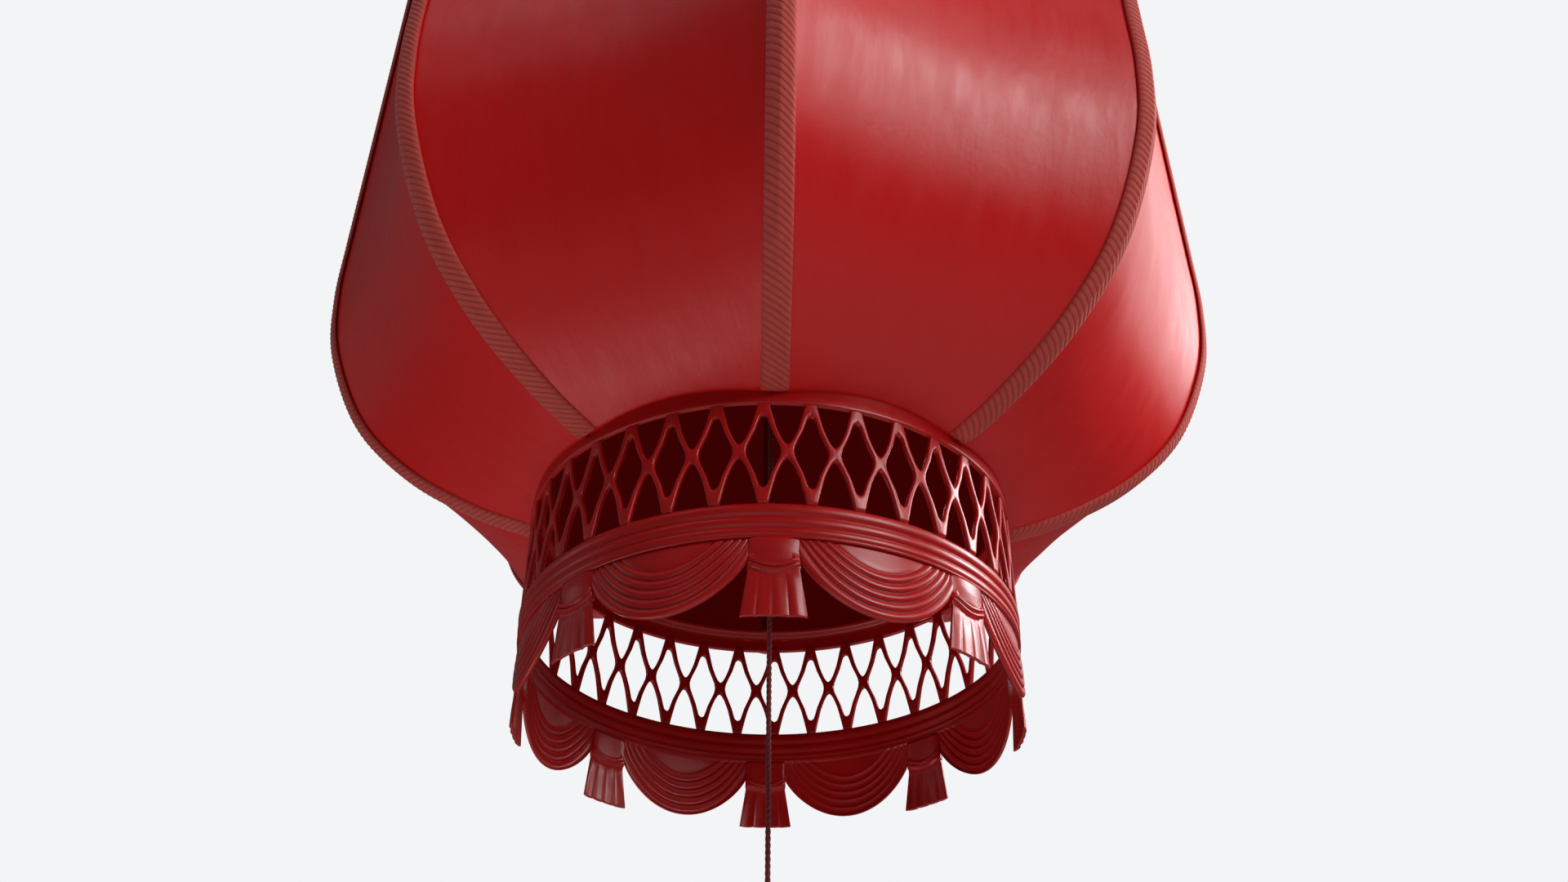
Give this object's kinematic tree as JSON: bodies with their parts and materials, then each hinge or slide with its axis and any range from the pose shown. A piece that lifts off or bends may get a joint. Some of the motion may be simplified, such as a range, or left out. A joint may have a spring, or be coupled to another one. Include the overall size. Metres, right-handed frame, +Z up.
{
  "type": "hanging lantern",
  "caption": "Ribbed red fabric lantern with a lattice collar, a valance of swags and tassels, a caged lamp inside and a tassel hanging through the collar on a cord.",
  "frame": {"origin": "the inside of the hanging ring's top, where a hook bears", "axes": "+Z up along the lantern's axis, -Y towards the first rib, +X to the right seen from -Y"},
  "size_m": [0.4254, 0.4254, 0.8795],
  "materials": {
    "panel_satin": "deep red satin, tightly woven, soft sheen",
    "trim_rope": "dusty red rope braid, diagonal dark grooves",
    "rib_wire": "bent wire, red paint",
    "red_lacquer": "moulded dark red plastic, glossy, worn thin on the edges",
    "zinc_steel": "zinc-plated",
    "brass_fittings": "turned brass, dull",
    "holder_bakelite": "black moulded plastic",
    "opal_glass": "opal white glass",
    "cord_yarn": "two-ply twisted yarn, dark brown-red",
    "tassel_silk": "dark red rayon thread"
  },
  "bodies": {
    "hanger": {"hang_ring": "zinc_steel"},
    "lantern": {"rib_1": "rib_wire", "panel_1": "panel_satin", "rib_trim_1": "trim_rope", "swag_1": "red_lacquer", "valance_tassel_1": "red_lacquer", "rib_2": "rib_wire", "panel_2": "panel_satin", "rib_trim_2": "trim_rope", "swag_2": "red_lacquer", "valance_tassel_2": "red_lacquer", "rib_3": "rib_wire", "panel_3": "panel_satin", "rib_trim_3": "trim_rope", "swag_3": "red_lacquer", "valance_tassel_3": "red_lacquer", "rib_4": "rib_wire", "panel_4": "panel_satin", "rib_trim_4": "trim_rope", "swag_4": "red_lacquer", "valance_tassel_4": "red_lacquer", "rib_5": "rib_wire", "panel_5": "panel_satin", "rib_trim_5": "trim_rope", "swag_5": "red_lacquer", "valance_tassel_5": "red_lacquer", "rib_6": "rib_wire", "panel_6": "panel_satin", "rib_trim_6": "trim_rope", "swag_6": "red_lacquer", "valance_tassel_6": "red_lacquer", "rib_7": "rib_wire", "panel_7": "panel_satin", "rib_trim_7": "trim_rope", "swag_7": "red_lacquer", "valance_tassel_7": "red_lacquer", "rib_8": "rib_wire", "panel_8": "panel_satin", "rib_trim_8": "trim_rope", "swag_8": "red_lacquer", "valance_tassel_8": "red_lacquer", "lower_neck_ring": "red_lacquer", "upper_neck_ring": "red_lacquer", "lattice_collar": "red_lacquer", "beaded_ring": "red_lacquer", "top_cap": "red_lacquer", "top_spider": "zinc_steel", "eye_bolt": "zinc_steel", "bulb_guard": "zinc_steel", "cap_nut": "brass_fittings", "lamp_stem": "brass_fittings", "cable_gland": "holder_bakelite", "lampholder": "holder_bakelite", "bulb": "opal_glass"},
    "pendant_link": {"pendant_link": "zinc_steel"},
    "pendant": {"cord_end_ring": "zinc_steel", "centre_cord": "cord_yarn", "cord_knot": "cord_yarn", "pendant_tassel_head": "tassel_silk", "pendant_tassel_skirt": "tassel_silk"}
  },
  "joints": [
    {"name": "lantern_swing", "type": "hinge", "parent": "hanger", "child": "lantern", "pos_m": [0, 0, -0.0298], "axis": [0, 1, 0], "range_deg": [-30, 30]},
    {"name": "pendant_link_swing", "type": "hinge", "parent": "lantern", "child": "pendant_link", "pos_m": [0, 0, -0.4291], "axis": [1, 0, 0], "range_deg": [-13, 13]},
    {"name": "pendant_swing", "type": "hinge", "parent": "pendant_link", "child": "pendant", "pos_m": [0, 0, -0.4385], "axis": [0, 1, 0], "range_deg": [-13, 13]}
  ]
}
